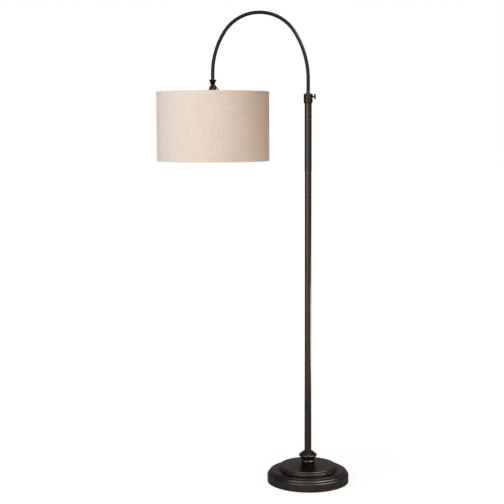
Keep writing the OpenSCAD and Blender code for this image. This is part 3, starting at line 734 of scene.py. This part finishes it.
def pole_tube(node):
    """One length of the pole, its ends broken so that the joints show as fine lines."""
    z0, z1, edge = low(node), high(node), 0.25
    heights = [z0 + edge + (z1 - z0 - 2 * edge) * i / 8 for i in range(9)]
    inner = POLE_R - POLE_WALL
    return turned(node + "_tube", [(POLE_R - edge, z0)] + [(POLE_R, z) for z in heights]
        + [(POLE_R - edge, z1), (inner, z1), (inner, z0)], steps=64)


def collar():
    """The collar: rounded below, with a cut line where the pole ends inside it."""
    z0, top = low("collar"), high("collar")
    pole_top, inner = high("pole_upper"), POLE_R + FIT
    lip = 0.5
    width = COLLAR_R - inner - lip
    under = [(inner + lip + width * math.sin(math.radians(a)),
        z0 + COLLAR_ROUND * (1 - math.cos(math.radians(a)))) for a in range(0, 91, 6)]
    line, cut_depth, edge = pole_top + 1.4, 0.5, 1.2
    return turned("collar_ring", [(inner, z0)] + under
        + [(COLLAR_R, line - cut_depth), (COLLAR_R - cut_depth, line), (COLLAR_R, line + cut_depth)]
        + [(COLLAR_R, line + 5), (COLLAR_R, line + 11)]
        + arc((COLLAR_R - edge, top - edge), edge, 0, 90, 6)
        + [(BUSH_R + FIT, top), (BUSH_R + FIT, pole_top), (inner, pole_top)], steps=96)


def guide_bush():
    """The bush that the arm runs in, and the small cone that it ends in above the collar."""
    z0, z1, bore, seat = low("guide_bush"), high("guide_bush"), ARM_R + RUN, high("collar")
    foot, tip = (CONE_R, seat), (bore + 0.5, z1)
    return turned("bush_cone", [(bore, z0), (BUSH_R, z0), (BUSH_R, seat), foot]
        + bowed(foot, tip, inward=0.9, steps=12) + [tip, (bore, z1)], steps=96)


def clamp_screw(z):
    """The thumbscrew's shank, cone, hub and head, laid along +X at height z."""
    head, tip, edge = COLLAR_R + HEAD_REACH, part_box("clamp_pad")[1].x * METRE + FIT, HEAD_EDGE_R
    body_r, hub_r, hub_h, dish = HEAD_R - 0.5, SHANK_R + 2.0, 1.4, 0.7
    shank = [(0, tip), (SHANK_R - 0.4, tip), (SHANK_R, tip + 0.4), (SHANK_R, COLLAR_R + FREE)]
    cone = [(SHANK_R + 1.2, COLLAR_R + FREE), (SHANK_R, COLLAR_R + 2.9)]
    hub = [(SHANK_R, head - hub_h), (hub_r - 0.3, head - hub_h), (hub_r, head - hub_h + 0.3),
        (hub_r, head)]
    rim = (arc((body_r - edge, head + edge), edge, -90, 0, 6)
        + arc((body_r - edge, head + HEAD_T - edge), edge, 0, 90, 6))
    face = [(HEAD_R * 0.70, head + HEAD_T), (HEAD_R * 0.62, head + HEAD_T - dish),
        (0, head + HEAD_T - dish)]
    return lying(turned("clamp_screw", shank + cone + hub + rim + face, steps=96), 0, z)


screw_z = (low("thumbscrew") + high("thumbscrew")) / 2
cut_cover = cut(base_cover(), drill((0, BASE_R + 5, CORD_Z), (0, -1, 0), CORD_HOLE_R, 10))
cut_collar = cut(collar(), drill((ARM_R, 0, screw_z), (1, 0, 0), SHANK_R + RUN, 15))
cut_bush = cut(guide_bush(), drill((0, 0, screw_z), (1, 0, 0), SHANK_R + RUN, 15))
dress(cut_cover, "stand", "bronze_paint", BRONZE, "base_cover")
dress(seat_ring(), "stand", "bronze_paint", BRONZE, "seat_ring")
dress(spindle_knob(), "stand", "bronze_paint", BRONZE, "spindle_knob")
for tube_node in ("pole_lower", "pole_middle", "pole_upper"):
    dress(pole_tube(tube_node), "stand", "bronze_paint", POLE_LIT_BRONZE, tube_node)
dress(cut_collar, "stand", "bronze_paint", COLLAR_SHADED_BRONZE, "collar")
dress(cut_bush, "stand", "bronze_paint", BRONZE, "guide_bush")
dress(clamp_screw(screw_z), "screw", "bronze_paint", BRONZE, "thumbscrew")

along_x = (0, math.pi / 2, 0)
head_middle = COLLAR_R + HEAD_REACH + HEAD_T / 2
GRIPS.grow("head_grips", "screw", "bronze_paint", Radius=(HEAD_R - GRIP_R) * MM,
    Count=GRIP_COUNT, Length=(HEAD_T - 2.4) * MM, Rib=GRIP_R * MM, Turn=along_x, Finish=BRONZE,
    Place=(head_middle * MM, 0, screw_z * MM))
THREAD.grow("screw_thread", "screw", "bronze_paint", Radius=(SHANK_R - 0.1) * MM,
    Pitch=PITCH * MM, Length=THREAD_L * MM, Ridge=RIDGE_R * MM, Turn=along_x, Finish=BRONZE,
    Place=((COLLAR_R - THREAD_START) * MM, 0, screw_z * MM))


# Arm

def arm_path():
    """The arm's centre line from its tail in the pole to its end above the shade, in the XZ plane."""
    top = high("arm_tube") - ARM_R
    lean = math.degrees(math.atan2(LEAN[1], LEAN[0]))

    def side_w(r):
        """How far the arch's centre lies in from a side that bends with radius r."""
        return r - (r - ARCH_R) * LEAN[0]

    def side_h(r):
        """How far a side that bends with radius r reaches down from the arch's top."""
        return ARCH_R + (r - ARCH_R) * LEAN[1]

    pole_z, shade_z = top - side_h(POLE_BEND_R), top - side_h(SHADE_BEND_R)
    tail = low("arm_tube")
    path = [(0.0, tail + (pole_z - tail) * i / 12) for i in range(12)]
    path += arc((-POLE_BEND_R, pole_z), POLE_BEND_R, 0, lean, 16)
    path += arc((-side_w(POLE_BEND_R), top - ARCH_R), ARCH_R, lean, 90, 20)[1:]
    path += arc((SHADE_X + side_w(SHADE_BEND_R), top - ARCH_R), ARCH_R, 90, 180 - lean, 20)
    path += arc((SHADE_X + SHADE_BEND_R, shade_z), SHADE_BEND_R, 180 - lean, 180, 16)[1:]
    end = low("arm_cup") + ARM_SEAT
    return path + [(SHADE_X, shade_z + (end - shade_z) * i / 3) for i in range(1, 4)]


def arm_cup():
    """The cup at the arm's end: flared outside, dished on top and bored for arm and nipple."""
    z0, top, brim = low("arm_cup"), high("arm_cup"), 0.8
    flare = []
    for i in range(17):
        t = i / 16
        flare.append((WAIST_R + (CUP_R - WAIST_R) * (0.45 * t + 0.55 * t * t),
            z0 + (CUP_H - brim) * t))
    rim, dish = (CUP_R - brim, top), (ARM_R + 1, top - CUP_DISH)
    bore = [(ARM_R + FIT, top - CUP_DISH), (ARM_R + FIT, z0 + ARM_SEAT),
        (NIPPLE_R + FIT, z0 + ARM_SEAT)]
    edge = brim / 2
    return turned("cup", [(NIPPLE_R + FIT, z0)] + flare
        + arc((CUP_R - edge, top - edge), edge, 0, 90, 4)
        + [rim] + bowed(rim, dish, inward=0.5) + [dish] + bore, x=SHADE_X, steps=96)


dress(swept("arm", arm_path(), ARM_R, ARM_R - ARM_WALL, 40), "arm", "bronze_paint",
    ARM_SHADED_BRONZE, "arm_tube")
dress(arm_cup(), "arm", "bronze_paint", FITTING_WARM_LIT_BRONZE, "arm_cup")


# Shade

SHADE_TOP, SHADE_Z0 = high("top_hem"), low("bottom_hem")
EDGE_IN = HEM_T + FIT
CLOTH_R = SHADE_R - HEM_T - FIT
LINER_R = CLOTH_R - CLOTH_T - FIT
HEM_IN_R = LINER_R - LINER_T - 2 * RING_WIRE_R - 2 * FIT - HEM_T


def shell(name, r, t):
    """A thin upright cylinder between the two hems' folds."""
    z0, z1 = SHADE_Z0 + EDGE_IN, SHADE_TOP - EDGE_IN
    heights = [z0 + (z1 - z0) * i / 12 for i in range(13)]
    return turned(name, [(r, z) for z in heights] + [(r - t, z) for z in reversed(heights)],
        x=SHADE_X, steps=256)


def hem(name, edge_z, up):
    """A strip of the cloth folded over the edge and round the ring; up is -1 for the top hem."""
    fold, out, inn = 0.45, SHADE_R, HEM_IN_R
    quarter = [math.pi / 2 * i / 4 for i in range(5)]

    def at(r, h):
        return (r, edge_z + up * h)

    outer = [at(out, HEM_H), at(out, HEM_H * 0.5)] + [at(out - fold + fold * math.cos(a),
        fold - fold * math.sin(a)) for a in quarter]
    inner = [at(inn + fold - fold * math.sin(a), fold - fold * math.cos(a))
        for a in quarter] + [at(inn, HEM_H)]
    under = [at(inn + HEM_T, HEM_H), at(inn + HEM_T, HEM_T), at(out - HEM_T, HEM_T),
        at(out - HEM_T, HEM_H)]
    return turned(name, outer + inner + under, x=SHADE_X, steps=256)


def polar(r, turn):
    """A point at a radius round the shade's centre, turned in degrees from its back."""
    a = math.radians(90 + turn)
    return SHADE_X + r * math.cos(a), r * math.sin(a)


def back_seam():
    """The cloth's end, lapped over its beginning and glued, at the back of the shade."""
    z0, z1 = SHADE_Z0 + HEM_H, SHADE_TOP - HEM_H
    half_lap, steps, levels, edge_u = 6.0, 6, 12, 2.0
    half = math.degrees(half_lap / CLOTH_R)
    out, inn = CLOTH_R + 0.45, CLOTH_R - 0.2
    outline = ([polar(inn, -half)] + [polar(out, -half * 0.97 + 1.94 * half * i / steps)
        for i in range(steps + 1)] + [polar(inn, half)])
    rows = [z0 + (z1 - z0) * i / levels for i in range(levels + 1)]
    verts = [(x, y, z) for z in rows for x, y in outline]
    n, faces, uvs = len(outline), [], []
    for k in range(levels):
        for i in range(n):
            j = (i + 1) % n
            faces.append((k * n + i, k * n + j, (k + 1) * n + j, (k + 1) * n + i))
            u0, u1 = i * edge_u, i * edge_u + edge_u
            uvs += [(u0, rows[k]), (u1, rows[k]), (u1, rows[k + 1]), (u0, rows[k + 1])]
    faces += [tuple(reversed(range(n))), tuple(range(levels * n, (levels + 1) * n))]
    uvs += [(i * edge_u, 0.0) for i in range(2 * n)]
    return facing_out(mesh_piece("back_seam", verts, faces, uvs))


cloth = dress(shell("linen_cloth", CLOTH_R, CLOTH_T), "arm", "linen", LINEN, "shade_cloth")
dress(shell("liner", LINER_R, LINER_T), "arm", "liner_film", FILM, "shade_liner")
slit = (2.6, 4.0, 2 * HEM_H - 7.0)
slits = [block((HEM_IN_R, 0, SHADE_TOP - HEM_H), slit, SPIDER_TURN + 120 * i) for i in range(3)]
top_hem = dress(cut(hem("upper_hem", SHADE_TOP, -1), *slits), "arm", "linen", LINEN, "top_hem")
bottom_hem = dress(hem("lower_hem", SHADE_Z0, 1), "arm", "linen", LINEN, "bottom_hem")
seam = dress(back_seam(), "arm", "linen", LINEN)


# Lamp holder and bulb

def socket_cap():
    """The small bell over the holder."""
    z0, top, wall, roof = low("socket_cap"), high("socket_cap"), 0.8, 1.2
    lip_in, shoulder, flat_r = CAP_R - wall, top - CAP_CONE_H, 7
    bell = [(flat_r + (CAP_R - flat_r) * math.sin(math.radians(a)) ** 0.9,
        top - CAP_CONE_H * (1 - math.cos(math.radians(a)))) for a in range(0, 91, 9)]
    return turned("bell_cap", [(NIPPLE_R + FIT, top)] + bell
        + [(CAP_R, z0 + 0.3), (CAP_R - 0.3, z0), (lip_in, z0), (lip_in, shoulder - 0.4),
            (flat_r, top - roof), (NIPPLE_R + FIT, top - roof)], x=SHADE_X, steps=96)


def socket_shell():
    """The holder's brass shell: a neck inside the cap, a shoulder, three ribs and a rolled foot."""
    z0, top, w = low("socket_shell"), high("socket_shell"), 0.5
    neck_r = CAP_R - 0.8 - FIT
    neck_z, shoulder = low("socket_cap") - 6.4, low("socket_cap") - 9.0
    rib, rib_out, rib_gap = [], 0.28, 2.4
    for k in range(3):
        z = shoulder - 3.5 - rib_gap * k
        rib += [(SHELL_R, z + 0.8), (SHELL_R + rib_out, z + 0.35), (SHELL_R + rib_out, z - 0.35),
            (SHELL_R, z - 0.8)]
    return turned("brass_shell", [(neck_r - w, top), (neck_r, top), (neck_r, neck_z + 0.4),
        (neck_r + 0.5, neck_z - 0.2), (SHELL_R - 0.5, shoulder + 0.5), (SHELL_R, shoulder)] + rib
        + [(SHELL_R, z0 + 1.5), (SHELL_R + 0.5, z0 + 1.0), (SHELL_R + 0.5, z0 + 0.4),
            (SHELL_R, z0), (SHELL_R - w, z0), (SHELL_R - w, shoulder - 0.2),
            (neck_r - w, neck_z - 0.2)], x=SHADE_X, steps=96)


def bulb_glass():
    """A round bulb, hollow, with its neck in the bulb's base."""
    foot = low("bulb_base")
    neck = BULB_BASE_R - 0.6 - FIT
    centre = (0.0, low("bulb_glass") + BULB_R)

    def line(w):
        ball = arc(centre, BULB_R - w, 38, -90, 28)
        ball[-1] = (0.0, ball[-1][1])
        shoulder = (neck - w, foot - 6)
        return ([(neck - w, foot + 6 - FIT), shoulder]
            + bowed(shoulder, ball[0], inward=1.5, steps=8) + ball)

    outside, inside = line(0), line(GLASS_T)
    return turned("bulb", outside + inside[::-1], x=SHADE_X, steps=96)


dress(socket_cap(), "arm", "bronze_paint", FITTING_WARM_LIT_BRONZE, "socket_cap")
key_z = (low("switch_key") + high("switch_key")) / 2
cut_shell = cut(socket_shell(), drill((SHADE_X, -10, key_z), (0, -1, 0), KEY_HOLE_R, 10))
dress(cut_shell, "arm", "shell_brass", BRASS, "socket_shell")
dress(bulb_glass(), "arm", "opal_glass", OPAL, "bulb_glass")

# Nodes whose own CAD shape shows
for material, nodes in (
    (ZINC, ("base_rod", "base_washer", "base_nut", "pole_foot", "pole_couplers", "guide_clips",
        "arm_nipple", "nipple_nut", "shade_top_ring", "shade_bottom_ring")),
    (BLACK, ("cord_bushing", "clamp_pad", "socket_body", "switch_key")),
    (BRASS, ("screw_shell", "centre_contact")), (FELT, ("base_pad",)), (IRON, ("base_weight",)),
    (NYLON, ("arm_guide",)), (FITTING_WARM_LIT_BRONZE, ("shade_spider",)), (CARD, ("socket_sleeve",)),
    (ALUMINIUM, ("bulb_base",)),
):
    for node in nodes:
        keep(node, material)


# Floor, background and light

FLOOR_HALF, FLOOR_GLOW, RIGHT_GLOW = 30, 1.36, 18


def stage_floor():
    """A pale matt floor that keeps its shadow near the lamp and turns white further out."""
    mesh = bpy.data.meshes.new("floor")
    h = FLOOR_HALF
    mesh.from_pydata([(-h, -h, 0), (h, -h, 0), (h, h, 0), (-h, h, 0)], [], [(0, 1, 2, 3)])
    floor = bpy.data.objects.new("floor", mesh)
    bpy.context.collection.objects.link(floor)
    material = bpy.data.materials.new("floor")
    material.use_nodes = True
    g = Graph(material.node_tree)
    g.tree.nodes.clear()
    grain = g.add("ShaderNodeTexNoise", {}, {"Scale": 3.0})
    colour = g.add("ShaderNodeMix", {"data_type": "RGBA"},
        {0: grain, 6: rgb(0.76, 0.76, 0.76), 7: rgb(0.78, 0.78, 0.78)}, 2)
    matt = g.add("ShaderNodeBsdfPrincipled", {}, {"Base Color": colour, "Roughness": 0.9})
    white = g.add("ShaderNodeEmission", {}, {"Color": rgb(1, 1, 1), "Strength": FLOOR_GLOW})
    at = g.add("ShaderNodeTexCoord").output("Object")
    away = g.add("ShaderNodeVectorMath", {"operation": "LENGTH"}, {0: at}, "Value")
    path = g.add("ShaderNodeLightPath")
    seen = path.output("Is Camera Ray") * (0.6 + away.step(0.3, 2.2) * 0.4)
    # For shiny rays only, the floor glows white in a ring 3.5 to 7 m away, a painted reflection that
    # the bronze mirrors, with dark floor within and beyond
    shiny = path.output("Is Glossy Ray").math("MAXIMUM", path.output("Is Transmission Ray"))
    reflected_floor_glow = shiny * away.step(1.4, 3.5) * (1 - away.step(7.0, 14.0)) * 0.5
    mixed = g.add("ShaderNodeMixShader", {},
        {0: seen.math("MAXIMUM", reflected_floor_glow), 1: matt, 2: white})
    g.add("ShaderNodeOutputMaterial", {}, {"Surface": mixed})
    floor.data.materials.append(material)


def studio_world():
    """White behind the object for the camera, and a soft room for the light on it."""
    world = bpy.data.worlds.new("studio")
    bpy.context.scene.world = world
    world.use_nodes = True
    g = Graph(world.node_tree)
    g.tree.nodes.clear()
    path = g.add("ShaderNodeLightPath")
    at = g.add("ShaderNodeTexCoord").output("Generated")
    up = at.dot((0, 0, 1))

    # Matt surfaces see a dim room, cool on the left and warm on the right
    rightwards = at.dot((1, 0, 0)).step(-0.7, 0.8)
    room = g.add("ShaderNodeMix", {"data_type": "RGBA"},
        {0: rightwards, 6: rgb(0.33, 0.35, 0.38), 7: rgb(0.46, 0.32, 0.21)}, 2)
    dim = g.add("ShaderNodeBackground", {}, {"Color": room, "Strength": 1.0})

    # Shiny ones mirror the studio: backdrop, left wall, a box overhead and one on the right
    backdrop = at.dot((0, 1, 0)).step(0.5, 0.8) * up.step(0.08, 0.25) * 0.46
    left_wall = at.dot((-0.55, -0.83, 0.1)).step(0.6, 0.95) * 0.7
    overhead = at.dot((0.15, -0.62, 0.77)).step(0.55, 0.95) * 0.72
    right_box = (at.dot((0.83, -0.56, 0)).step(0.74, 0.84)
        * up.step(0.26, 0.38) * (1 - up.step(0.55, 0.68)))
    bright = backdrop.math("MAXIMUM", left_wall).math("MAXIMUM", overhead)
    shown = g.add("ShaderNodeMix", {"data_type": "RGBA"}, {0: bright.math("MAXIMUM", right_box),
        6: rgb(0.200, 0.190, 0.178), 7: rgb(1.0, 1.0, 1.0)}, 2)
    mirrored = g.add("ShaderNodeBackground", {},
        {"Color": shown, "Strength": right_box * RIGHT_GLOW + overhead + 1})

    white = g.add("ShaderNodeBackground", {}, {"Color": rgb(1, 1, 1), "Strength": 1.0})
    shiny = path.output("Is Glossy Ray").math("MAXIMUM", path.output("Is Transmission Ray"))
    lit = g.add("ShaderNodeMixShader", {}, {0: shiny, 1: dim, 2: mirrored})
    seen = g.add("ShaderNodeMixShader", {}, {0: path.output("Is Camera Ray"), 1: lit, 2: white})
    g.add("ShaderNodeOutputWorld", {}, {"Surface": seen})


def softbox(name, at, aim, size, watts, colour, spread=180):
    """An area lamp that looks from one point at another."""
    light = bpy.data.lights.new(name, "AREA")
    light.shape, light.size, light.size_y = "RECTANGLE", size[0], size[1]
    light.energy, light.color, light.spread = watts, colour, math.radians(spread)
    lamp = bpy.data.objects.new(name, light)
    bpy.context.collection.objects.link(lamp)
    lamp.location = at
    lamp.rotation_euler = (Vector(aim) - Vector(at)).to_track_quat("-Z", "Y").to_euler()


stage_floor()
studio_world()
softbox("key", at=(-1.95, -3.1, 2.0), aim=(-0.2, 0, 1.1), size=(3.2, 3.0), watts=101,
    colour=(0.95, 0.985, 1.0))
softbox("right_side", at=(1.25, 0.25, 0.35), aim=(0, 0, 0.62), size=(0.80, 0.40), watts=1.4,
    colour=(1.0, 0.95, 0.90), spread=46)
softbox("left_low", at=(-2.0, -2.9, 0.33), aim=(0, 0, 0.5), size=(2.2, 0.60), watts=8.0,
    colour=(1.0, 0.99, 0.98))
softbox("right_high", at=(1.5, -2.3, 1.9), aim=(-0.34, 0, 1.3), size=(0.8, 0.8), watts=8.8,
    colour=(1.0, 0.87, 0.74))

bpy.context.scene.view_settings.view_transform = "Standard"
